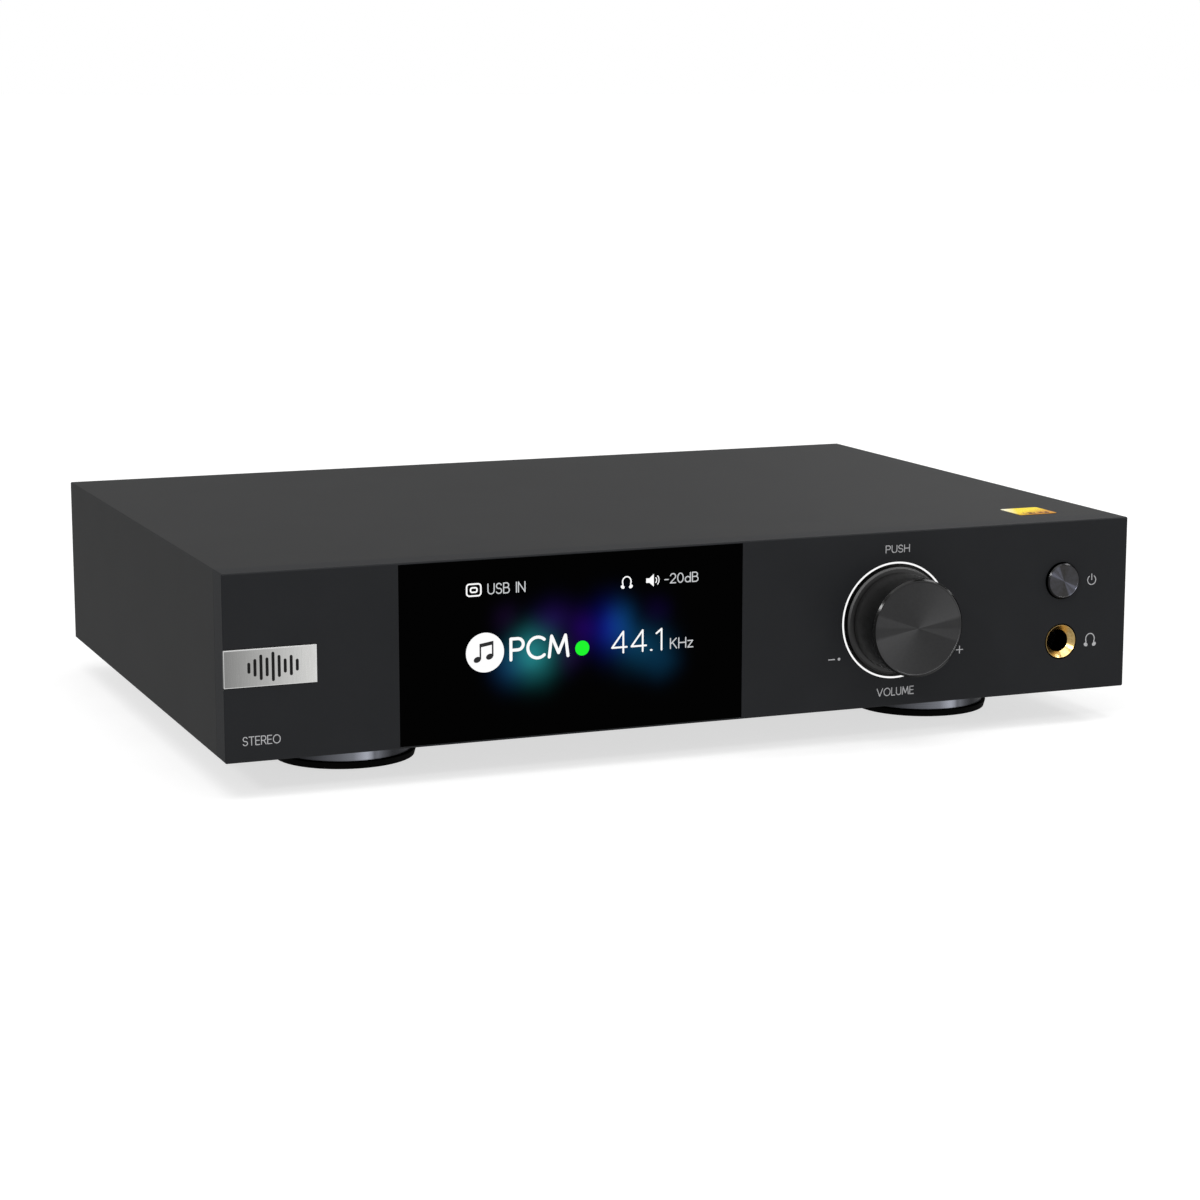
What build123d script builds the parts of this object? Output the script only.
from build123d import *
import math
import os

# A desktop digital-to-analogue converter with a headphone output. All sizes are in millimetres.
# X runs across the front, from left to right, Y runs from the front to the rear, and Z is up. The origin is
# on the table, below the middle of the whole object, from the knob's face to the tips of the rear sockets.

# ---- driving dimensions --------------------------------------------------------------------------
WIDTH = 270.0
DEPTH = 189.0                                   # front panel face to the cover's rear edge
HEIGHT = 50.0                                   # the case alone, without its feet
FOOT_HEIGHT = 10.0
KNOB_REACH = 14.0                               # knob face ahead of the front panel
SOCKET_REACH = 9.0                              # phono barrels behind the cover's rear edge
PANEL_THICKNESS = 8.5
WALL = 2.5                                      # cover
SHEET = 1.5                                     # base tray
REAR_THICKNESS = 2.0
EDGE_BREAK = 0.3                                # small bevel on the machined outer edges
GAP = 0.1                                       # between parts that lie close together
BOARD = 1.6

HALF_W = WIDTH / 2
BASE_Z = FOOT_HEIGHT
TOP_Z = BASE_Z + HEIGHT
MID_Z = BASE_Z + HEIGHT / 2
FRONT_Y = -(DEPTH + SOCKET_REACH - KNOB_REACH) / 2
PANEL_BACK = FRONT_Y + PANEL_THICKNESS
COVER_REAR = FRONT_Y + DEPTH
REAR_FACE = COVER_REAR - 1.0                    # the rear panel sits a little inside the cover
REAR_INNER = REAR_FACE - REAR_THICKNESS
INNER_X = HALF_W - WALL
FLOOR_Z = BASE_Z + SHEET

# front panel layout
GLASS_X = (-87.4, 12.0)
GLASS_LIP = 0.5
GLASS_THICKNESS = 1.8
LCD_X = (-84.0, 8.6)
LCD_Z = (BASE_Z + 5.0, TOP_Z - 5.0)
BADGE_X = (-HALF_W, -110.0)
BADGE_HEIGHT = 10.0
BADGE_THICKNESS = 1.0
KNOB_X, KNOB_Z = 59.6, BASE_Z + 24.7
BUTTON_X, BUTTON_Z = 113.5, BASE_Z + 32.6
JACK_X, JACK_Z = 113.6, BASE_Z + 14.7
LABEL_CENTRE, LABEL_SIZE = (113.8, FRONT_Y + 20.6), 12.2

# volume control, from the front to the rear along its axis
KNOB_RADIUS = 13.9
SKIRT_RADIUS = 15.3
KNOB_FACE = FRONT_Y - KNOB_REACH
KNOB_BACK = FRONT_Y + 0.3
RING_OUTER, RING_INNER = 16.7, 16.2
WELL_FACE = FRONT_Y + 1.5
WELL_BACK = FRONT_Y + 7.5
ENCODER_BACK = WELL_BACK + 7.0
CONTROL_BOARD_Y = ENCODER_BACK
SHAFT_RADIUS = 3.0
RUNNING = 0.05                                  # radial clearance of a shaft that turns or slides

# main board and power board
BOARD_Z = FLOOR_Z + 5.5
BOARD_TOP = BOARD_Z + BOARD
MAIN_BOARD = (-24.0, 124.0, -22.0, 92.0)        # x from, x to, y from, y to
POWER_BOARD = (-122.0, -30.0, 8.0, 62.0)
STANDOFF_FOOT = 2.1
SCREW_RADIUS = 1.5
TAPPED = 1.55

# rear sockets: x, z
XLR_PLACES = ((113.0, 35.0), (82.0, 35.0))
XLR_FLANGE = (26.0, 31.0)
XLR_SCREWS = ((-9.5, 12.0), (9.5, -12.0))
PHONO_PLACES = ((57.0, 26.0), (57.0, 44.0), (38.5, 26.0), (38.5, 44.0))
PHONO_BARREL = 4.15
PHONO_BODY = 4.9
USB_X, USB_Z = 18.0, BOARD_TOP + 5.5
OPTICAL_X, OPTICAL_Z = 0.0, BOARD_TOP + 5.5
TRIGGER_X = -18.0
TRIGGER_Z = (BOARD_TOP + 5.2, BOARD_TOP + 21.2)
TRIGGER_BUSH = 4.0
INLET_X, INLET_Z = -104.0, 35.0
ROCKER_X, ROCKER_Z = -68.0, 35.0
ROCKER_TILT = 12.0

TORUS_X, TORUS_Y = -84.0, -34.0
CLINCH_NUT = 1.9                                # nuts pressed into the tray for the feet
FOOT_X = 90.2
FOOT_Y = (FRONT_Y + 42.4, COVER_REAR - 42.4)
FOOT_RADIUS = 18.9
PAD_RADIUS = 20.0
PAD_HEIGHT = 1.8


# ---- small helpers -------------------------------------------------------------------------------
def block(x, y, z):
    """A box from its three (low, high) pairs."""
    size = [high - low for low, high in (x, y, z)]
    return Pos(x[0], y[0], z[0]) * Box(*size, align=(Align.MIN, Align.MIN, Align.MIN))


def rod_y(x, z, radius, y0, y1):
    """A cylinder along Y."""
    return Pos(x, (y0 + y1) / 2, z) * Rot(90, 0, 0) * Cylinder(radius, y1 - y0)


def rod_z(x, y, radius, z0, z1):
    """A cylinder along Z."""
    return Pos(x, y, (z0 + z1) / 2) * Cylinder(radius, z1 - z0)


def tube_y(x, z, outer, inner, y0, y1):
    return rod_y(x, z, outer, y0, y1) - rod_y(x, z, inner, y0, y1)


def turned_y(x, z, profile):
    """A solid of revolution about a line along Y. The profile is a list of (radius, y) corners."""
    face = make_face(Polyline(*profile, close=True))
    return Pos(x, 0, z) * revolve(face, Axis.Y)


def plate_y(width, height, corner, x, z, y0, y1):
    """A plate with rounded corners that faces along Y."""
    outline = Plane((x, y1, z), z_dir=(0, 1, 0), x_dir=(1, 0, 0)) * RectangleRounded(width, height, corner)
    return extrude(outline, -(y1 - y0))


def around(middle, half):
    return middle - half, middle + half


def wire_tube(points, radius):
    """A round wire along straight runs that are joined by tangent arcs."""
    radii = []
    for before, here, after in zip(points, points[1:], points[2:]):
        run_in, run_out = Vector(*here) - Vector(*before), Vector(*after) - Vector(*here)
        turn = math.radians(run_in.get_angle(run_out))
        radii.append(0.45 * min(run_in.length, run_out.length) / math.tan(turn / 2))
    path = FilletPolyline(*points, radius=radii)
    section = Plane(origin=path @ 0, z_dir=path % 0) * Circle(radius)
    return sweep(section, path=path)


def pan_screw_y(x, z, y, length, into=1):
    """A pan-head screw along Y, with its head's underside at y and its thread going towards into."""
    shank = rod_y(x, z, SCREW_RADIUS, *sorted((y, y + into * length)))
    head = rod_y(x, z, 2.8, *sorted((y, y - into * 1.8)))
    head = chamfer(head.edges().filter_by(GeomType.CIRCLE).sort_by(Axis.Y)[0 if into > 0 else -1], 0.5)
    driver = rod_y(x, z, 1.1, *sorted((y - into * 1.8, y - into * 0.7)))
    return head + shank - driver


# ---- case ----------------------------------------------------------------------------------------
TRAY_SCREW_X = (-118.0, -98.0, 24.0, 88.0, 118.0)
TRAY_SCREW_Z = FLOOR_Z + 3.0
TRAY_EAR_X = 123.2
EAR_SCREW_Z = TOP_Z - 8.0
CONTROL_BOSSES = ((39.5, 21.0), (39.5, 52.0), (96.0, 21.0), (104.0, 52.0))
DISPLAY_BOSSES = ((-90.4, 21.0), (-90.4, 52.0), (15.0, 25.0), (15.0, 52.0))
DISPLAY_BOARD_Y = PANEL_BACK + 2.0
BOSS_RADIUS = 2.6


def front_panel():
    panel = block((-HALF_W, HALF_W), (FRONT_Y, PANEL_BACK), (BASE_Z, TOP_Z))
    outer = panel.edges() - panel.edges().filter_by_position(Axis.Y, PANEL_BACK - 0.01, PANEL_BACK + 0.01)
    panel = chamfer(outer, EDGE_BREAK)
    glass = block((GLASS_X[0] - 0.05, GLASS_X[1] + 0.05), (FRONT_Y, FRONT_Y + GLASS_THICKNESS + GAP),
                  (BASE_Z + GLASS_LIP, TOP_Z - GLASS_LIP))
    window = block(LCD_X, (FRONT_Y, PANEL_BACK), LCD_Z)
    badge = block((BADGE_X[0] - 1, BADGE_X[1] + 0.15), (FRONT_Y, FRONT_Y + BADGE_THICKNESS - 0.1),
                  around(MID_Z, BADGE_HEIGHT / 2 + 0.15))
    panel -= [glass, window, badge]
    panel -= rod_y(KNOB_X, KNOB_Z, RING_OUTER + GAP, FRONT_Y, PANEL_BACK)
    panel -= rod_y(BUTTON_X, BUTTON_Z, 5.45, FRONT_Y, PANEL_BACK)
    panel -= rod_y(JACK_X, JACK_Z, 5.25, FRONT_Y, PANEL_BACK)
    for places, board_y in ((CONTROL_BOSSES, CONTROL_BOARD_Y), (DISPLAY_BOSSES, DISPLAY_BOARD_Y)):
        for x, z in places:
            panel += rod_y(x, z, BOSS_RADIUS, PANEL_BACK, board_y)
            panel -= rod_y(x, z, TAPPED, PANEL_BACK - 3, board_y)
    for x in TRAY_SCREW_X:
        panel -= rod_y(x, TRAY_SCREW_Z, TAPPED, PANEL_BACK - 5, PANEL_BACK)
    for x in (-TRAY_EAR_X, TRAY_EAR_X):
        panel -= rod_y(x, EAR_SCREW_Z, TAPPED, PANEL_BACK - 5, PANEL_BACK)
    return panel


RIB = 6.0
RIB_X = INNER_X - RIB / 2
LOWER_RIB_Z = (FLOOR_Z + GAP, FLOOR_Z + GAP + RIB)
UPPER_RIB_Z = (TOP_Z - WALL - RIB, TOP_Z - WALL)
PORT_DEPTH = 9.0
COVER_SCREW_Y = (-66.0, 4.0, 74.0)


def rear_screw_places():
    lower, upper = sum(LOWER_RIB_Z) / 2, sum(UPPER_RIB_Z) / 2
    return [(x, z) for x in (-RIB_X, RIB_X) for z in (lower, upper)]


def top_cover():
    cover = block((-HALF_W, HALF_W), (PANEL_BACK, COVER_REAR), (BASE_Z, TOP_Z))
    cover -= block((-INNER_X, INNER_X), (PANEL_BACK, COVER_REAR), (BASE_Z - 1, TOP_Z - WALL))
    outer = cover.edges().filter_by(Axis.Y).filter_by(lambda e: abs(abs(e.center().X) - HALF_W) < 0.01)
    cover = chamfer(outer, EDGE_BREAK)
    upright = cover.edges().filter_by(Axis.Z).filter_by(lambda e: abs(e.center().X) > HALF_W - 0.01)
    cover = chamfer(upright.sort_by(Axis.Y)[:2], EDGE_BREAK / 2)
    for side in (-1, 1):
        for low, high in (LOWER_RIB_Z, UPPER_RIB_Z):
            x = sorted((side * (INNER_X + 0.5), side * (INNER_X - RIB)))
            cover += block(x, (PANEL_BACK + SHEET + 2 * GAP, REAR_INNER), (low, min(high + 0.5, TOP_Z - 1)))
        for y in COVER_SCREW_Y:
            cover -= rod_z(side * RIB_X, y, TAPPED, LOWER_RIB_Z[0], LOWER_RIB_Z[0] + 5)
    for x, z in rear_screw_places():
        cover -= rod_y(x, z, TAPPED, REAR_INNER - PORT_DEPTH, REAR_INNER)
    return cover


def tray_vents():
    """Two rows of slots, below the power board and the output stage."""
    slots = []
    for centre_x, centre_y in ((-76.0, 16.0), (50.0, 16.0)):
        for i in range(-5, 6):
            outline = SlotOverall(24, 3, rotation=90)
            slots.append(Pos(centre_x + 7 * i, centre_y, BASE_Z - 1) * extrude(outline, SHEET + 2))
    return slots


def base_tray():
    x = INNER_X - GAP
    tray = block((-x, x), (PANEL_BACK + GAP, REAR_FACE - GAP), (BASE_Z, FLOOR_Z))
    flange_y = (PANEL_BACK + GAP, PANEL_BACK + GAP + SHEET)
    tray += block(around(0, TRAY_EAR_X + 3), flange_y, (FLOOR_Z, FLOOR_Z + 6))
    tray -= rod_y(KNOB_X, KNOB_Z, 19.5, *flange_y)
    for side in (-1, 1):
        tray += block(around(side * TRAY_EAR_X, 3), flange_y, (FLOOR_Z, EAR_SCREW_Z + 4))
        tray -= rod_y(side * TRAY_EAR_X, EAR_SCREW_Z, 1.7, *flange_y)
    for screw_x in TRAY_SCREW_X:
        tray -= rod_y(screw_x, TRAY_SCREW_Z, 1.7, PANEL_BACK, PANEL_BACK + 3)
    tray -= tray_vents()
    for side in (-1, 1):
        for y in COVER_SCREW_Y:
            cone = Pos(side * RIB_X, y, BASE_Z + 0.75) * Cone(3.1, 1.6, 1.5)
            tray -= cone
        for y in FOOT_Y:
            tray += rod_z(side * FOOT_X, y, 3.4, FLOOR_Z - 0.5, FLOOR_Z + CLINCH_NUT)
            tray -= rod_z(side * FOOT_X, y, 2.05, BASE_Z, FLOOR_Z + CLINCH_NUT)
    tray -= [rod_z(x, y, STANDOFF_FOOT, BASE_Z, FLOOR_Z) for x, y in MAIN_STANDOFFS + POWER_STANDOFFS]
    tray -= rod_z(TORUS_X, TORUS_Y, 2.6, BASE_Z, FLOOR_Z)
    return tray


def cover_screws():
    """Countersunk screws that come up through the tray into the cover's lower ribs."""
    screws = []
    for x in (-RIB_X, RIB_X):
        for y in COVER_SCREW_Y:
            head = Pos(x, y, BASE_Z + 0.75) * Cone(3.0, SCREW_RADIUS, 1.5)
            shank = rod_z(x, y, SCREW_RADIUS, BASE_Z + 1.4, BASE_Z + 6.0)
            hexagon = Pos(x, y, BASE_Z) * extrude(RegularPolygon(1.0, 6), 0.9)
            screws.append(head + shank - hexagon)
    return screws


def rear_panel():
    height = (FLOOR_Z + GAP, TOP_Z - WALL - GAP)
    panel = block((-INNER_X + GAP, INNER_X - GAP), (REAR_INNER, REAR_FACE), height)
    holes = [rod_y(x, z, 1.7, REAR_INNER, REAR_FACE) for x, z in rear_screw_places()]
    for x, z in XLR_PLACES:
        holes.append(rod_y(x, z, 12.0, REAR_INNER, REAR_FACE))
        holes += [rod_y(x + dx, z + dz, TAPPED, REAR_INNER, REAR_FACE) for dx, dz in XLR_SCREWS]
    holes += [rod_y(x, z, PHONO_BODY + GAP, REAR_INNER, REAR_FACE) for x, z in PHONO_PLACES]
    holes += [rod_y(TRIGGER_X, z, TRIGGER_BUSH + GAP, REAR_INNER, REAR_FACE) for z in TRIGGER_Z]
    depth = (REAR_INNER - 1, REAR_FACE + 1)
    holes.append(block(around(USB_X, USB_HALF[0] + GAP), depth, around(USB_Z, USB_HALF[1] + GAP)))
    holes.append(block(around(OPTICAL_X, OPTICAL_HALF + GAP), depth, around(OPTICAL_Z, OPTICAL_HALF + GAP)))
    holes.append(block(around(INLET_X, INLET_HALF[0] + GAP), depth, around(INLET_Z, INLET_HALF[1] + GAP)))
    holes.append(block(around(ROCKER_X, ROCKER_HALF[0] + GAP), depth, around(ROCKER_Z, ROCKER_HALF[1] + GAP)))
    return panel - holes


def rear_panel_screws():
    """Pan-head screws at the panel's corners, and the two that hold each balanced socket."""
    corner = [pan_screw_y(x, z, REAR_FACE, 8.0, into=-1) for x, z in rear_screw_places()]
    flange = REAR_FACE + XLR_PLATE
    sockets = [pan_screw_y(x + dx, z + dz, flange, 6.0, into=-1)
               for x, z in XLR_PLACES for dx, dz in XLR_SCREWS]
    return corner + sockets


def front_panel_screws():
    """Screws inside the case that hold the tray's front flange to the front panel."""
    inner = PANEL_BACK + GAP + SHEET
    places = [(x, TRAY_SCREW_Z) for x in TRAY_SCREW_X] + [(x, EAR_SCREW_Z) for x in (-TRAY_EAR_X, TRAY_EAR_X)]
    return [pan_screw_y(x, z, inner, 5.5, into=-1) for x, z in places]


def name_badge():
    badge = block((BADGE_X[0] + 0.02, BADGE_X[1]), (FRONT_Y - 0.2, FRONT_Y + BADGE_THICKNESS - 0.1),
                  around(MID_Z, BADGE_HEIGHT / 2))
    return chamfer(badge.faces().sort_by(Axis.Y)[0].edges(), 0.15)


def foil_label():
    outline = Pos(*LABEL_CENTRE, TOP_Z) * RectangleRounded(LABEL_SIZE, LABEL_SIZE, 0.6)
    return extrude(outline, 0.12)


# ---- feet ----------------------------------------------------------------------------------------
def foot_places():
    return [(x, y) for y in FOOT_Y for x in (-FOOT_X, FOOT_X)]


def feet():
    made = []
    for x, y in foot_places():
        foot = rod_z(x, y, FOOT_RADIUS, PAD_HEIGHT, BASE_Z)
        foot = chamfer(foot.edges().filter_by(GeomType.CIRCLE), 0.25)
        groove = rod_z(x, y, FOOT_RADIUS + 1, BASE_Z - 1.3, BASE_Z - 0.7)
        groove -= rod_z(x, y, FOOT_RADIUS - 0.4, 0, BASE_Z)
        counterbore = rod_z(x, y, 4.5, PAD_HEIGHT, PAD_HEIGHT + 3.5)
        foot -= [groove, counterbore, rod_z(x, y, 2.05, PAD_HEIGHT, BASE_Z)]
        made.append(foot)
    return made


def foot_pads():
    made = []
    for x, y in foot_places():
        pad = Pos(x, y, PAD_HEIGHT / 2) * Cone(PAD_RADIUS - 0.5, PAD_RADIUS, PAD_HEIGHT)
        made.append(pad - rod_z(x, y, 5.0, 0, PAD_HEIGHT))
    return made


def foot_screws():
    made = []
    for x, y in foot_places():
        seat = PAD_HEIGHT + 3.5
        screw = rod_z(x, y, 2.0, seat, FLOOR_Z + CLINCH_NUT) + rod_z(x, y, 4.0, seat - 2.4, seat)
        made.append(screw - Pos(x, y, seat - 2.4) * extrude(RegularPolygon(1.6, 6), 1.4))
    return made


# ---- display -------------------------------------------------------------------------------------
def display_glass():
    glass = block(GLASS_X, (FRONT_Y, FRONT_Y + GLASS_THICKNESS),
                  (BASE_Z + GLASS_LIP + 0.05, TOP_Z - GLASS_LIP - 0.05))
    return chamfer(glass.faces().sort_by(Axis.Y)[0].edges(), 0.08)


def display_module():
    """The liquid crystal panel in its thin metal frame, glued behind the glass."""
    front = FRONT_Y + GLASS_THICKNESS + 0.05
    frame = block((LCD_X[0] + 0.2, LCD_X[1] - 0.2), (front, front + 4.4), (LCD_Z[0] + 0.2, LCD_Z[1] - 0.2))
    return chamfer(frame.faces().sort_by(Axis.Y)[-1].edges(), 0.4)


def display_board():
    board = block((-93.5, 18.0), (DISPLAY_BOARD_Y, DISPLAY_BOARD_Y + BOARD), (21.5, TOP_Z - 4))
    board += block((-93.5, -80.0), (DISPLAY_BOARD_Y, DISPLAY_BOARD_Y + BOARD), (18.0, 22.0))
    return board - [rod_y(x, z, 1.7, DISPLAY_BOARD_Y, DISPLAY_BOARD_Y + BOARD) for x, z in DISPLAY_BOSSES]


def flat_cable(x_from, x_to, route):
    """A flat ribbon of 0.3 mm that keeps its width along X and follows the (y, z) route."""
    line = FilletPolyline(*[(0, y, z) for y, z in route], radius=RIBBON_BEND)
    section = Plane(origin=line @ 0, z_dir=line % 0, x_dir=(1, 0, 0)) * Rectangle(x_to - x_from, 0.3)
    return Pos((x_from + x_to) / 2, 0, 0) * sweep(section, path=line)


RIBBON_BEND = 5.0
SOCKET_HEIGHT = 2.0


def display_ribbon():
    start = DISPLAY_BOARD_Y + BOARD + SOCKET_HEIGHT
    end = MAIN_BOARD[2] + 2.0
    middle = BOARD_TOP + SOCKET_HEIGHT / 2
    route = [(start, 34.0), (start + 14.0, 34.0), (start + 34.0, middle), (end, middle)]
    return flat_cable(-16.0, 0.0, route)


def control_ribbon():
    start = CONTROL_BOARD_Y + BOARD + SOCKET_HEIGHT
    end = MAIN_BOARD[2] + 2.0
    middle = BOARD_TOP + SOCKET_HEIGHT / 2
    route = [(start, 30.0), (start + 12.0, 30.0), (start + 30.0, middle), (end, middle)]
    return flat_cable(44.0, 56.0, route)


# ---- volume control ------------------------------------------------------------------------------
CAVITY_RADIUS, CAVITY_END = 10.5, KNOB_BACK - 5.0
SHAFT_TIP = KNOB_FACE + 3.5
SET_SCREW_Y = KNOB_FACE + 7.0


def volume_knob():
    face, back = KNOB_FACE, KNOB_BACK
    waist = back - 1.6
    profile = [(0, face + 0.1), (KNOB_RADIUS - 0.9, face + 0.1), (KNOB_RADIUS - 0.8, face),
               (KNOB_RADIUS - 0.45, face), (KNOB_RADIUS, face + 0.45), (KNOB_RADIUS, waist - 0.8),
               (KNOB_RADIUS - 0.4, waist - 0.4),
               (KNOB_RADIUS - 0.4, waist), (SKIRT_RADIUS - 0.5, waist + 0.2), (SKIRT_RADIUS, waist + 0.7),
               (SKIRT_RADIUS, back), (CAVITY_RADIUS, back), (CAVITY_RADIUS, CAVITY_END),
               (SHAFT_RADIUS + 0.02, CAVITY_END), (SHAFT_RADIUS + 0.02, SHAFT_TIP), (0, SHAFT_TIP)]
    knob = turned_y(KNOB_X, KNOB_Z, profile)
    return knob - Pos(KNOB_X, SET_SCREW_Y, KNOB_Z - 8) * Cylinder(TAPPED, 14)


def knob_set_screw():
    screw = rod_z(KNOB_X, SET_SCREW_Y, SCREW_RADIUS, KNOB_Z - 9.5, KNOB_Z - 2.52)
    return screw - Pos(KNOB_X, SET_SCREW_Y, KNOB_Z - 9.5) * extrude(RegularPolygon(0.8, 6), 2.0)


def light_ring():
    """A light guide that shines out as a thin ring around the knob."""
    shoulder = WELL_BACK
    profile = [(RING_INNER, FRONT_Y), (RING_OUTER, FRONT_Y), (RING_OUTER, PANEL_BACK), (19.0, PANEL_BACK),
               (19.0, PANEL_BACK + 1.2), (RING_OUTER, PANEL_BACK + 1.2), (RING_OUTER, CONTROL_BOARD_Y - 1.0),
               (14.6, CONTROL_BOARD_Y - 1.0), (14.6, shoulder), (RING_INNER, shoulder)]
    return turned_y(KNOB_X, KNOB_Z, profile)


def knob_well():
    """The black disc inside the ring that carries the encoder's nut in a recess."""
    outer = RING_INNER - GAP
    profile = [(4.55, WELL_FACE + 3), (7.2, WELL_FACE + 3), (7.2, WELL_FACE), (outer, WELL_FACE),
               (outer, WELL_BACK), (4.55, WELL_BACK)]
    return turned_y(KNOB_X, KNOB_Z, profile)


def encoder_body():
    body = block(around(KNOB_X, 6.3), (WELL_BACK, ENCODER_BACK), around(KNOB_Z, 6.7))
    body += rod_y(KNOB_X, KNOB_Z, 4.5, WELL_FACE + 0.5, WELL_BACK + 0.5)
    body -= rod_y(KNOB_X, KNOB_Z, SHAFT_RADIUS + RUNNING, WELL_FACE, WELL_BACK + 2)
    return body - rod_y(KNOB_X, KNOB_Z, 4.0, WELL_BACK + 1.2, ENCODER_BACK - 1.0)


def encoder_nut():
    hexagon = Plane((KNOB_X, WELL_FACE + 3, KNOB_Z), z_dir=(0, -1, 0)) * RegularPolygon(6.3, 6)
    return extrude(hexagon, 2.0) - rod_y(KNOB_X, KNOB_Z, 4.52, WELL_FACE, WELL_FACE + 3)


def encoder_shaft():
    end = WELL_BACK + 3.5
    shaft = rod_y(KNOB_X, KNOB_Z, SHAFT_RADIUS, SHAFT_TIP + 0.5, end)
    shaft += rod_y(KNOB_X, KNOB_Z, 3.7, WELL_BACK + 1.3, WELL_BACK + 2.1)
    flat = block(around(KNOB_X, 4), (SHAFT_TIP, CAVITY_END), (KNOB_Z - 4, KNOB_Z - 2.5))
    return shaft - flat


def encoder_actuator():
    """The little piston that the shaft pushes on when the knob is pressed."""
    start = WELL_BACK + 3.5
    return rod_y(KNOB_X, KNOB_Z, 3.7, start, start + 1.6)


def ring_leds():
    lamp = block(around(0, 0.9), (CONTROL_BOARD_Y - 0.8, CONTROL_BOARD_Y), around(15.7, 0.6))
    return [Pos(KNOB_X, 0, KNOB_Z) * Rot(0, 30 * i, 0) * lamp for i in range(12)]


def control_board():
    """The board behind the knob and the button, cut away where the headphone socket passes."""
    thick = (CONTROL_BOARD_Y, CONTROL_BOARD_Y + BOARD)
    board = block((36.0, 120.0), thick, (17.5, 55.5)) - block((102.0, 121.0), thick, (17.0, 34.0))
    return board - [rod_y(x, z, 1.7, *thick) for x, z in CONTROL_BOSSES]


# ---- power button and headphone socket -----------------------------------------------------------
BUTTON_RADIUS = 5.15
BUTTON_FACE = FRONT_Y - 1.3
BUTTON_FLANGE = PANEL_BACK + GAP
STEM_END = BUTTON_FLANGE + 2.1
SWITCH_FACE = CONTROL_BOARD_Y - 2.8
HALF_PLUG = 3.2                                 # bore for a 6.35 mm plug, as a radius


def power_button():
    profile = [(0, BUTTON_FACE + 0.05), (BUTTON_RADIUS - 0.6, BUTTON_FACE + 0.05),
               (BUTTON_RADIUS - 0.55, BUTTON_FACE),
               (BUTTON_RADIUS - 0.35, BUTTON_FACE), (BUTTON_RADIUS, BUTTON_FACE + 0.35),
               (BUTTON_RADIUS, BUTTON_FLANGE), (6.4, BUTTON_FLANGE), (6.4, BUTTON_FLANGE + 1.0),
               (2.0, BUTTON_FLANGE + 1.0), (2.0, STEM_END), (0, STEM_END)]
    return turned_y(BUTTON_X, BUTTON_Z, profile)


def power_switch_body():
    body = block(around(BUTTON_X, 3.1), (SWITCH_FACE, CONTROL_BOARD_Y), around(BUTTON_Z, 3.1))
    return body - rod_y(BUTTON_X, BUTTON_Z, 1.65, SWITCH_FACE, SWITCH_FACE + 2.1)


def power_switch_plunger():
    return rod_y(BUTTON_X, BUTTON_Z, 1.6, STEM_END, STEM_END + 2.0)


def headphone_bushing():
    cone_end = FRONT_Y + 1.7
    profile = [(4.75, FRONT_Y), (4.9, FRONT_Y), (5.0, FRONT_Y + 0.1), (5.0, PANEL_BACK),
               (HALF_PLUG, PANEL_BACK), (HALF_PLUG, cone_end)]
    return turned_y(JACK_X, JACK_Z, profile)


def headphone_jack():
    rear = PANEL_BACK + 25.5
    body = block(around(JACK_X, 6.4), (PANEL_BACK, rear), around(JACK_Z, 6.8))
    body -= rod_y(JACK_X, JACK_Z, HALF_PLUG, PANEL_BACK, rear - 2)
    body = chamfer(body.edges().filter_by(Axis.Y).filter_by(lambda e: abs(e.center().X - JACK_X) > 6), 0.8)
    for i in (-1, 0, 1):
        body += block(around(JACK_X + 4.8 * i, 0.9), (rear, rear + 1.5), around(JACK_Z, 0.3))
    return body


# ---- rear sockets --------------------------------------------------------------------------------
XLR_PLATE = 1.8
XLR_CUP = 9.3
XLR_PINS = ((-3.85, 1.3), (3.85, 1.3), (0.0, -2.6))
USB_HALF = (6.0, 5.5)
USB_OPENING = (4.3, 3.95)
OPTICAL_HALF = 5.5
OPTICAL_OPENING = 4.2
SHUTTER_AXIS = (REAR_FACE - 0.4, OPTICAL_Z + 3.4)
INLET_HALF = (13.7, 16.0)
ROCKER_HALF = (6.5, 9.9)


def xlr_shells():
    made = []
    for x, z in XLR_PLACES:
        plate = plate_y(*XLR_FLANGE, 3.0, x, z, REAR_FACE, REAR_FACE + XLR_PLATE)
        shell = plate + rod_y(x, z, 11.9, REAR_FACE - 17, REAR_FACE + 0.5)
        shell += tube_y(x, z, 11.2, XLR_CUP, REAR_FACE + XLR_PLATE - 0.2, REAR_FACE + XLR_PLATE + 0.6)
        shell -= rod_y(x, z, XLR_CUP, REAR_FACE - 17, REAR_FACE + 3)
        shell -= [rod_y(x + dx, z + dz, 1.7, REAR_FACE, REAR_FACE + 3) for dx, dz in XLR_SCREWS]
        made.append(shell)
    return made


def xlr_inserts():
    made = []
    for x, z in XLR_PLACES:
        insert = rod_y(x, z, XLR_CUP - 0.05, REAR_FACE - 17, REAR_FACE - 13.5)
        insert -= [rod_y(x + dx, z + dz, 1.25, REAR_FACE - 17, REAR_FACE - 13.5) for dx, dz in XLR_PINS]
        made.append(insert)
    return made


def xlr_pins():
    """Three contact pins in each socket, with tails that go down to the main board."""
    made = []
    for x, z in XLR_PLACES:
        for dx, dz in XLR_PINS:
            pin = rod_y(x + dx, z + dz, 1.2, REAR_FACE - 21, REAR_FACE - 1.0)
            pin = fillet(pin.edges().filter_by(GeomType.CIRCLE).sort_by(Axis.Y)[-1], 0.8)
            made.append(pin + rod_z(x + dx, REAR_FACE - 20, 0.6, BOARD_TOP, z + dz))
    return made


PHONO_BACK = REAR_INNER - 4.0
PHONO_TIP = COVER_REAR + SOCKET_REACH


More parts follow.
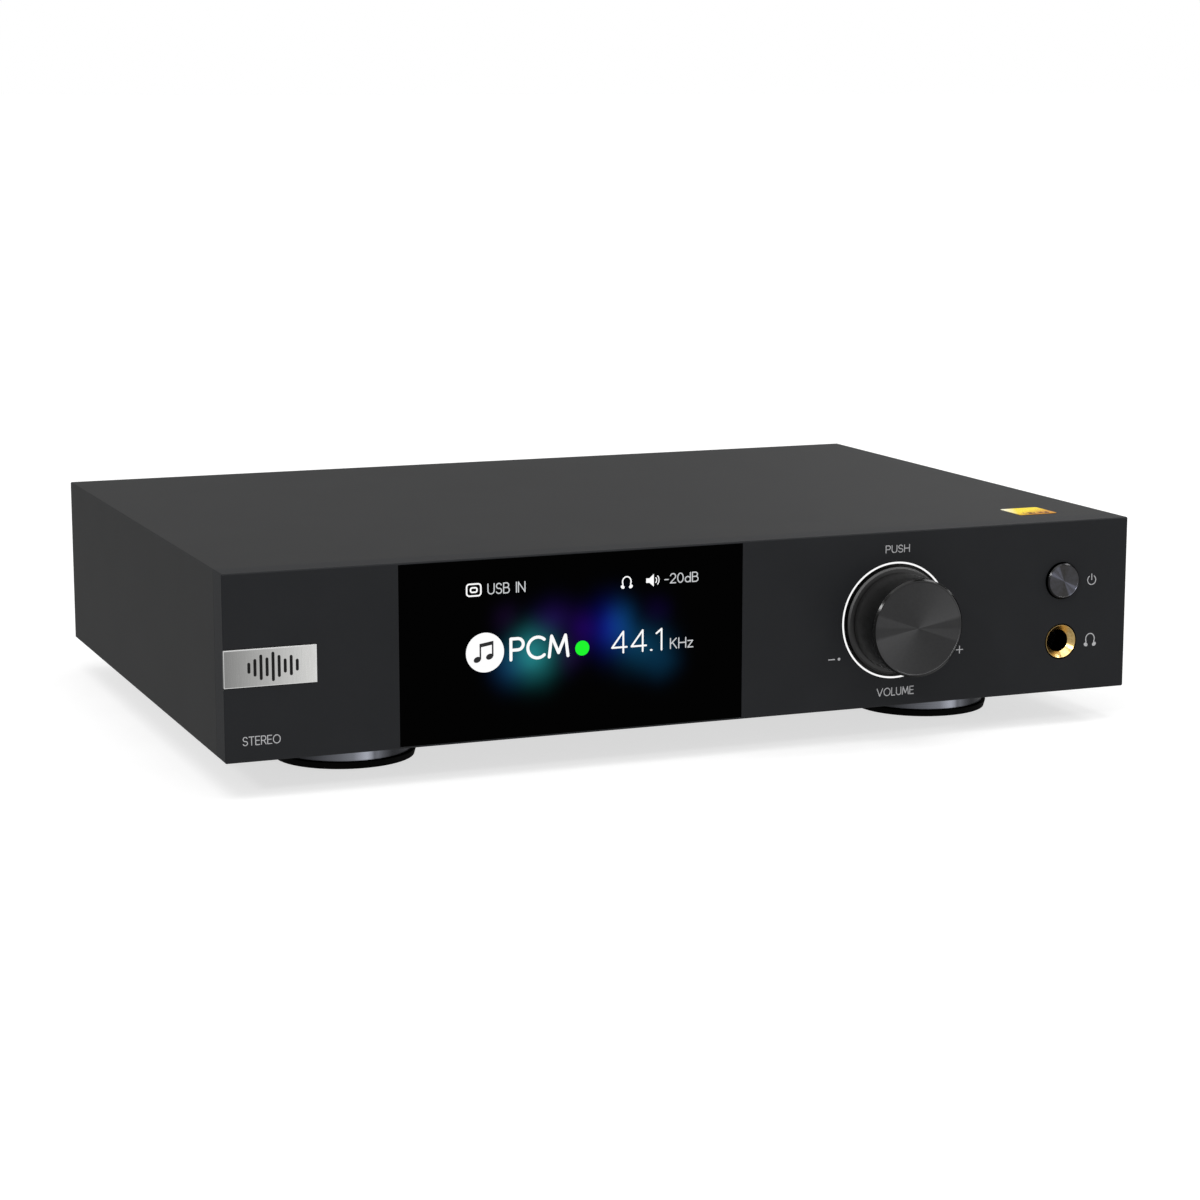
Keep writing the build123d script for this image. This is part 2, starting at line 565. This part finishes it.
def phono_shells():
    profile = [(3.4, PHONO_BACK), (PHONO_BODY, PHONO_BACK), (PHONO_BODY, REAR_FACE), (5.9, REAR_FACE),
               (5.9, REAR_FACE + 0.7), (5.6, REAR_FACE + 1.0), (PHONO_BARREL, REAR_FACE + 1.0),
               (PHONO_BARREL, PHONO_TIP - 0.2), (PHONO_BARREL - 0.2, PHONO_TIP), (3.6, PHONO_TIP),
               (3.4, PHONO_TIP - 0.2)]
    return [turned_y(x, z, profile) for x, z in PHONO_PLACES]


def phono_inserts():
    """The coloured plastic in each barrel, with the hole for the plug's centre pin."""
    made = []
    for x, z in PHONO_PLACES:
        profile = [(1.65, PHONO_BACK), (3.35, PHONO_BACK), (3.35, PHONO_TIP - 1.2), (2.2, PHONO_TIP - 1.2),
                   (1.65, PHONO_TIP - 1.8)]
        made.append(turned_y(x, z, profile))
    return made


def phono_housings():
    made = []
    for x in sorted({place[0] for place in PHONO_PLACES}):
        housing = block(around(x, 6.5), (PHONO_BACK - 11, REAR_INNER), (BOARD_TOP, 52.0))
        for place_x, z in PHONO_PLACES:
            if place_x == x:
                housing -= rod_y(x, z, PHONO_BODY + 0.05, PHONO_BACK, REAR_INNER)
        made.append(housing)
    return made


def usb_socket():
    shell = block(around(USB_X, USB_HALF[0]), (REAR_FACE - 15, COVER_REAR), around(USB_Z, USB_HALF[1]))
    opening = block(around(USB_X, USB_OPENING[0]), (REAR_FACE - 13.5, COVER_REAR + 1),
                    around(USB_Z, USB_OPENING[1]))
    opening = chamfer(opening.edges().filter_by(Axis.Y).sort_by(Axis.Z)[-2:], 1.6)
    return chamfer((shell - opening).edges().filter_by(Axis.Y).filter_by(
        lambda e: abs(e.center().X - USB_X) > USB_HALF[0] - 0.1), 0.5)


def usb_tongue():
    return block(around(USB_X, 2.8), (REAR_FACE - 13.5, REAR_FACE - 4.6), around(USB_Z, 1.6))


def optical_receiver():
    back = REAR_FACE - 14.0
    body = block(around(OPTICAL_X, OPTICAL_HALF), (back, COVER_REAR), around(OPTICAL_Z, OPTICAL_HALF))
    body -= block(around(OPTICAL_X, OPTICAL_OPENING), (back + 2.5, COVER_REAR),
                  around(OPTICAL_Z, OPTICAL_OPENING))
    y, z = SHUTTER_AXIS
    pivots = Pos(OPTICAL_X, y, z) * Rot(0, 90, 0) * Cylinder(0.55, 2 * OPTICAL_OPENING + 1.6)
    return body - pivots


def optical_shutter():
    """A sprung flap that hangs from two small pivots and swings inwards when a plug comes in."""
    y, z = SHUTTER_AXIS
    flap = block(around(OPTICAL_X, OPTICAL_OPENING - 0.15), around(y, 0.45), (OPTICAL_Z - 4.0, z + 0.45))
    return flap + Pos(OPTICAL_X, y, z) * Rot(0, 90, 0) * Cylinder(0.45, 2 * OPTICAL_OPENING + 1.2)


def trigger_jacks():
    """Two 3.5 mm sockets, one above the other, in a housing that stands on the main board."""
    jacks = block(around(TRIGGER_X, 4.5), (REAR_INNER - 13, REAR_INNER), (BOARD_TOP, TRIGGER_Z[1] + 5.2))
    for z in TRIGGER_Z:
        jacks += rod_y(TRIGGER_X, z, TRIGGER_BUSH, REAR_INNER - 0.5, REAR_FACE + 1.0)
        jacks += rod_y(TRIGGER_X, z, 3.0, REAR_FACE, REAR_FACE + 1.8)
        jacks -= rod_y(TRIGGER_X, z, 1.8, REAR_INNER - 11, REAR_FACE + 2)
    return jacks


INLET_PLATE = 2.0
INLET_FACE = REAR_FACE + INLET_PLATE
C14_Z = INLET_Z + 7.0
C14_HALF = (12.1, 8.3)
DRAWER_Z = INLET_Z - 10.4
DRAWER_HALF = (11.5, 3.5)
INLET_BLADES = ((-7.0, -2.0), (7.0, -2.0), (0.0, 2.0))
FUSE_Y = REAR_FACE - 12.0


def mains_inlet():
    """The power inlet, with a drawer for its fuse below the pins."""
    back = REAR_FACE - 22.0
    body = plate_y(31.0, 36.0, 2.0, INLET_X, INLET_Z, REAR_FACE, INLET_FACE)
    body = chamfer(body.faces().sort_by(Axis.Y)[-1].edges(), 0.5)
    body += block(around(INLET_X, INLET_HALF[0]), (back, REAR_FACE + 0.5), around(INLET_Z, INLET_HALF[1]))
    cavity = block(around(INLET_X, C14_HALF[0]), (INLET_FACE - 17, INLET_FACE), around(C14_Z, C14_HALF[1]))
    cavity = chamfer(cavity.edges().filter_by(Axis.Y).sort_by(Axis.Z)[-2:], 3.5)
    body -= cavity
    for dx, dz in INLET_BLADES:
        body -= block(around(INLET_X + dx, 1.05), (back, INLET_FACE), around(C14_Z + dz, 2.05))
    slot = block(around(INLET_X, DRAWER_HALF[0] + GAP), (back + 1.5, INLET_FACE),
                 around(DRAWER_Z, DRAWER_HALF[1] + GAP))
    return body - slot


def mains_inlet_pins():
    made = []
    for dx, dz in INLET_BLADES:
        blade = block(around(INLET_X + dx, 1.0), (REAR_FACE - 30, INLET_FACE - 3), around(C14_Z + dz, 2.0))
        made.append(chamfer(blade.faces().sort_by(Axis.Y)[-1].edges(), 0.5))
    return made


def fuse_drawer():
    drawer = block(around(INLET_X, DRAWER_HALF[0]), (REAR_FACE - 20, INLET_FACE),
                   around(DRAWER_Z, DRAWER_HALF[1]))
    lip = block(around(INLET_X, DRAWER_HALF[0] + 0.8), (INLET_FACE + 0.1, INLET_FACE + 1.6),
                around(DRAWER_Z, DRAWER_HALF[1] + 0.8))
    lip = chamfer(lip.faces().sort_by(Axis.Y)[-1].edges(), 0.4)
    neck = block(around(INLET_X, DRAWER_HALF[0]), (INLET_FACE - 0.5, INLET_FACE + 0.3),
                 around(DRAWER_Z, DRAWER_HALF[1]))
    drawer += [lip, neck]
    drawer -= block(around(INLET_X, 10.3), around(FUSE_Y, 2.8), (DRAWER_Z - 2.7, DRAWER_Z + 5))
    finger = block(around(INLET_X, 4.0), (INLET_FACE + 0.9, INLET_FACE + 2), (DRAWER_Z - 5, DRAWER_Z - 2.4))
    return drawer - finger


def fuse():
    """A 5 by 20 mm glass fuse across the drawer, with its two metal caps."""
    lie = Pos(INLET_X, FUSE_Y, DRAWER_Z) * Rot(0, 90, 0)
    made = lie * Cylinder(2.4, 20.0)
    for side in (-1, 1):
        made += lie * Pos(0, 0, side * 7.5) * Cylinder(2.6, 5.0)
    return made


ROCKER_OPENING = (5.5, 9.0)
ROCKER_AXIS_Y = REAR_FACE - 2.0


def rocker_frame():
    frame = plate_y(15.5, 22.5, 1.5, ROCKER_X, ROCKER_Z, REAR_FACE, REAR_FACE + 1.5)
    frame = chamfer(frame.faces().sort_by(Axis.Y)[-1].edges(), 0.4)
    frame += block(around(ROCKER_X, ROCKER_HALF[0]), (REAR_FACE - 16, REAR_FACE + 0.5),
                   around(ROCKER_Z, ROCKER_HALF[1]))
    frame -= block(around(ROCKER_X, ROCKER_OPENING[0]), (REAR_FACE - 13, REAR_FACE + 2),
                   around(ROCKER_Z, ROCKER_OPENING[1]))
    frame -= Pos(ROCKER_X, ROCKER_AXIS_Y, ROCKER_Z) * Rot(0, 90, 0) * Cylinder(1.05, 12.6)
    for dz in (-5.0, 5.0):
        frame += block(around(ROCKER_X, 2.4), (REAR_FACE - 22, REAR_FACE - 15.5), around(ROCKER_Z + dz, 0.4))
    return frame


def rocker_paddle():
    """The paddle rests in its on position, tilted about its pivot, with its shallow V facing out."""
    tip, valley, half = 5.2, 3.6, 7.8
    outline = Polyline((valley, 0), (tip, half), (-1.5, half), (-3.5, 3.0), (-3.5, -3.0), (-1.5, -half),
                       (tip, -half), close=True)
    side = Plane(origin=(0, 0, 0), x_dir=(0, 1, 0), z_dir=(1, 0, 0)) * make_face(outline)
    paddle = extrude(side, 5.3, both=True)
    paddle += Rot(0, 90, 0) * Cylinder(1.0, 12.2)
    return Pos(ROCKER_X, ROCKER_AXIS_Y, ROCKER_Z) * Rot(ROCKER_TILT, 0, 0) * paddle


# ---- inside --------------------------------------------------------------------------------------
def inset_corners(board, inset):
    x0, x1, y0, y1 = board
    return [(x, y) for x in (x0 + inset, x1 - inset) for y in (y0 + inset, y1 - inset)]


MAIN_STANDOFFS = [(-20.0, -18.0), (120.0, -18.0), (-20.0, 72.0), (98.0, 60.0), (22.0, -18.0)]
POWER_STANDOFFS = [(-118.0, 12.0), (-34.0, 12.0), (-118.0, 58.0), (-34.0, 58.0)]


def plain_board(board, holes):
    x0, x1, y0, y1 = board
    made = block((x0, x1), (y0, y1), (BOARD_Z, BOARD_TOP))
    return made - [rod_z(x, y, 1.7, BOARD_Z, BOARD_TOP) for x, y in holes]


def main_board():
    return plain_board(MAIN_BOARD, MAIN_STANDOFFS)


def power_board():
    return plain_board(POWER_BOARD, POWER_STANDOFFS)


def board_standoffs():
    """Hexagonal pillars whose feet are pressed into the tray and lie flush with its underside."""
    made = []
    for x, y in MAIN_STANDOFFS + POWER_STANDOFFS:
        pillar = Pos(x, y, FLOOR_Z) * extrude(RegularPolygon(3.2, 6), BOARD_Z - FLOOR_Z)
        pillar += rod_z(x, y, STANDOFF_FOOT, BASE_Z, FLOOR_Z)
        made.append(pillar - rod_z(x, y, TAPPED, FLOOR_Z, BOARD_Z))
    return made


def board_screws():
    made = []
    for x, y in MAIN_STANDOFFS + POWER_STANDOFFS:
        screw = rod_z(x, y, 2.8, BOARD_TOP, BOARD_TOP + 1.8)
        screw += rod_z(x, y, SCREW_RADIUS, BOARD_Z - 4, BOARD_TOP + 0.5)
        made.append(screw - rod_z(x, y, 1.1, BOARD_TOP + 0.8, BOARD_TOP + 1.8))
    made += [pan_screw_y(x, z, CONTROL_BOARD_Y + BOARD, 5.0, into=-1) for x, z in CONTROL_BOSSES]
    made += [pan_screw_y(x, z, DISPLAY_BOARD_Y + BOARD, 3.5, into=-1) for x, z in DISPLAY_BOSSES]
    return made


def integrated_circuits():
    """Chips and flat connectors: x, y, length, width and height of each on the main board, then the rest."""
    on_board = [(50.0, 30.0, 10.0, 10.0, 1.2), (12.0, 55.0, 14.0, 14.0, 1.4), (30.0, 30.0, 12.0, 12.0, 1.2),
                (22.0, 8.0, 7.0, 7.0, 1.0)]
    on_board += [(72.0 + 14.0 * i, 28.0 + 14.0 * j, 5.0, 4.0, 1.6) for i in range(4) for j in (0, 1)]
    on_board += [(40.0 + 24.0 * i, 14.0, 7.0, 5.0, 2.2) for i in (0, 1)]
    made = [block(around(x, a / 2), around(y, b / 2), (BOARD_TOP, BOARD_TOP + c))
            for x, y, a, b, c in on_board]
    front = MAIN_BOARD[2] + 2.0
    for x_from, x_to in ((-17.0, 1.0), (43.0, 57.0)):
        made.append(block((x_from, x_to), (front, front + 5), (BOARD_TOP, BOARD_TOP + SOCKET_HEIGHT)))
    made.append(block((102.0, 116.0), (front, front + 5), (BOARD_TOP, BOARD_TOP + 6)))
    behind = DISPLAY_BOARD_Y + BOARD
    made.append(block((-17.0, 1.0), (behind, behind + SOCKET_HEIGHT), around(34.0, 2)))
    made.append(block((-56.0, -42.0), (behind, behind + 1.4), around(38.0, 7)))
    behind = CONTROL_BOARD_Y + BOARD
    made.append(block((43.0, 57.0), (behind, behind + SOCKET_HEIGHT), around(30.0, 2)))
    made.append(block((82.0, 89.0), (behind, behind + 1.2), around(40.0, 3.5)))
    return made + voltage_regulators()


def can(x, y, radius, height):
    """An electrolytic capacitor on a board, with its rolled groove near the foot."""
    body = rod_z(x, y, radius, BOARD_TOP, BOARD_TOP + height)
    body = fillet(body.edges().filter_by(GeomType.CIRCLE).sort_by(Axis.Z)[-1], 0.6)
    groove = rod_z(x, y, radius + 1, BOARD_TOP + 2, BOARD_TOP + 3)
    return body - (groove - rod_z(x, y, radius - 0.4, BOARD_TOP, BOARD_TOP + 5))


def filter_capacitors():
    reservoir = [can(-66.0 + 19.0 * i, 28.0 + 19.0 * j, 8.0, 25.0) for i in (0, 1) for j in (0, 1)]
    signal = [can(62.0 + 12.0 * i, 60.0, 4.0, 9.0) for i in range(3)]
    signal += [can(72.0 + 14.0 * i, 8.0, 5.0, 12.5) for i in range(4)]
    return reservoir[:3] + signal


def heat_sink():
    sink = block((-112.0, -76.0), (20.0, 23.0), (BOARD_TOP, BOARD_TOP + 26))
    for i in range(10):
        x = -111.0 + 34.0 * i / 9
        sink += block(around(x, 0.7), (22.5, 31.0), (BOARD_TOP, BOARD_TOP + 26))
    return sink


def voltage_regulators():
    made = []
    for x in (-106.0, -94.0, -82.0):
        package = block(around(x, 5.0), (15.5, 20.0), (BOARD_TOP + 3, BOARD_TOP + 18))
        package += block(around(x, 5.0), (18.7, 20.0), (BOARD_TOP + 17.5, BOARD_TOP + 22))
        for dx in (-2.54, 0.0, 2.54):
            package += block(around(x + dx, 0.4), (17.4, 18.0), (BOARD_TOP, BOARD_TOP + 3.5))
        made.append(package)
    return made


TORUS_Z = (FLOOR_Z + 2.5, FLOOR_Z + 30.5)


def transformer_winding():
    outline = Pos(22.5, sum(TORUS_Z) / 2) * RectangleRounded(23.0, TORUS_Z[1] - TORUS_Z[0], 6.0)
    return Pos(TORUS_X, TORUS_Y, 0) * revolve(Plane.XZ * outline, Axis.Z)


def transformer_pads():
    """Rubber washers below and above the winding. The lower one clears the nut of the foot beneath it."""
    top = TORUS_Z[1]
    lower = rod_z(TORUS_X, TORUS_Y, 30.0, FLOOR_Z, TORUS_Z[0]) - rod_z(TORUS_X, TORUS_Y, 3.0, FLOOR_Z, top)
    lower -= rod_z(-FOOT_X, FOOT_Y[0], 4.0, FLOOR_Z, top)
    upper = rod_z(TORUS_X, TORUS_Y, 23.0, top, top + 1.5) - rod_z(TORUS_X, TORUS_Y, 3.0, top, top + 2)
    return [lower, upper]


def transformer_clamp():
    """A dished plate and the bolt that pulls it down onto the winding."""
    plate_z = TORUS_Z[1] + 1.5
    plate = rod_z(TORUS_X, TORUS_Y, 21.0, plate_z, plate_z + 1.5)
    plate -= rod_z(TORUS_X, TORUS_Y, 2.7, plate_z, plate_z + 2)
    bolt = rod_z(TORUS_X, TORUS_Y, 2.5, BASE_Z + 0.2, plate_z + 2)
    bolt += Pos(TORUS_X, TORUS_Y, plate_z + 1.5) * extrude(RegularPolygon(4.6, 6), 3.5)
    return [plate, bolt]


WIRE = 0.9
EARTH_X, EARTH_Y = -122.0, 68.0


def internal_wires():
    """The mains, earth, transformer, supply and headphone leads, with the terminals that they end in."""
    rear = REAR_FACE - 30
    switch_rear = REAR_FACE - 22
    terminal, link = BOARD_TOP + 10, BOARD_TOP + 6
    pins_z = C14_Z - 2.0
    routes = [
        [(INLET_X + 7, rear, pins_z), (INLET_X + 7, rear - 8, pins_z), (INLET_X + 18, rear - 12, pins_z - 1),
         (ROCKER_X, rear - 6, ROCKER_Z + 5), (ROCKER_X, switch_rear, ROCKER_Z + 5)],
        [(INLET_X - 7, rear, pins_z), (INLET_X - 7, rear - 7, pins_z), (INLET_X - 7, rear - 12, pins_z - 6),
         (INLET_X - 7, rear - 12, terminal)],
        [(INLET_X, rear, pins_z + 4), (INLET_X, rear - 6, pins_z + 4), (INLET_X - 9, rear - 8, pins_z + 2),
         (EARTH_X + 2, rear - 4, pins_z - 5), (EARTH_X, EARTH_Y, pins_z - 14),
         (EARTH_X, EARTH_Y, FLOOR_Z + 4.5)],
        [(ROCKER_X, switch_rear, ROCKER_Z - 5), (ROCKER_X, switch_rear - 12, ROCKER_Z - 5),
         (ROCKER_X - 16, rear - 10, ROCKER_Z + 1), (INLET_X - 1, rear - 12, ROCKER_Z + 1),
         (INLET_X - 1, rear - 12, terminal)],
    ]
    top = TORUS_Z[1]
    for i in range(4):
        x = TORUS_X + 12.0 + 3.0 * i
        y = TORUS_Y + math.sqrt(25.5 ** 2 - (x - TORUS_X) ** 2)
        routes.append([(x, y, top), (x, y, top + 6), (x, y + 8, top + 9), (x, 6.0, top + 5),
                       (x, 13.0, top - 4), (x, 13.0, terminal)])
    jack_rear, board_front = PANEL_BACK + 27.0, MAIN_BOARD[2] + 2
    for i in (-1, 0, 1):
        routes.append([(JACK_X + 4.8 * i, jack_rear, JACK_Z), (JACK_X + 4.8 * i, jack_rear + 9, JACK_Z),
                       (109.0 + 3.5 * i, board_front - 9, BOARD_TOP + 3),
                       (109.0 + 3.5 * i, board_front, BOARD_TOP + 3)])
    for i in range(5):
        y, from_x, to_x = 27.0 + 2.5 * i, POWER_BOARD[1] - 5.0, MAIN_BOARD[0] + 5.0
        routes.append([(from_x, y, link), (from_x, y, link + 4), (from_x + 4, y, link + 8),
                       (to_x - 4, y, link + 8), (to_x, y, link + 4), (to_x, y, link)])
    wires = [wire_tube(route, WIRE) for route in routes]
    # The screw terminals and headers that the wires drop into, and the lug of the earth lead.
    wires.append(block((INLET_X - 10, INLET_X + 2), around(rear - 12, 4), (BOARD_TOP, terminal)))
    wires.append(block((TORUS_X + 9, TORUS_X + 24), around(13.0, 4), (BOARD_TOP, terminal)))
    for x in (POWER_BOARD[1] - 5.0, MAIN_BOARD[0] + 5.0):
        wires.append(block(around(x, 2.5), (25.0, 39.0), (BOARD_TOP, link)))
    wires.append(rod_z(EARTH_X, EARTH_Y, 3.0, FLOOR_Z, FLOOR_Z + 4.5))
    return wires


# ---- writing the files ---------------------------------------------------------------------------
NODES = [front_panel, top_cover, base_tray, rear_panel, cover_screws, rear_panel_screws, front_panel_screws,
         name_badge, foil_label, feet, foot_pads, foot_screws,
         display_glass, display_module, display_board, display_ribbon,
         volume_knob, knob_set_screw, light_ring, knob_well, encoder_body, encoder_nut, encoder_shaft,
         encoder_actuator, ring_leds, control_board, control_ribbon,
         power_button, power_switch_body, power_switch_plunger, headphone_bushing, headphone_jack,
         mains_inlet, mains_inlet_pins, fuse_drawer, fuse, rocker_frame, rocker_paddle,
         xlr_shells, xlr_inserts, xlr_pins, phono_shells, phono_inserts, phono_housings,
         usb_socket, usb_tongue, optical_receiver, optical_shutter, trigger_jacks,
         main_board, power_board, board_standoffs, board_screws, integrated_circuits, filter_capacitors,
         heat_sink, transformer_winding, transformer_pads, transformer_clamp, internal_wires]


def main():
    os.makedirs("parts", exist_ok=True)
    for node in NODES:
        made = node()
        shapes = made if isinstance(made, list) else [made]
        solids = [solid for shape in shapes for solid in shape.solids()]
        export_step(Compound(children=solids), f"parts/{node.__name__}.step")


main()
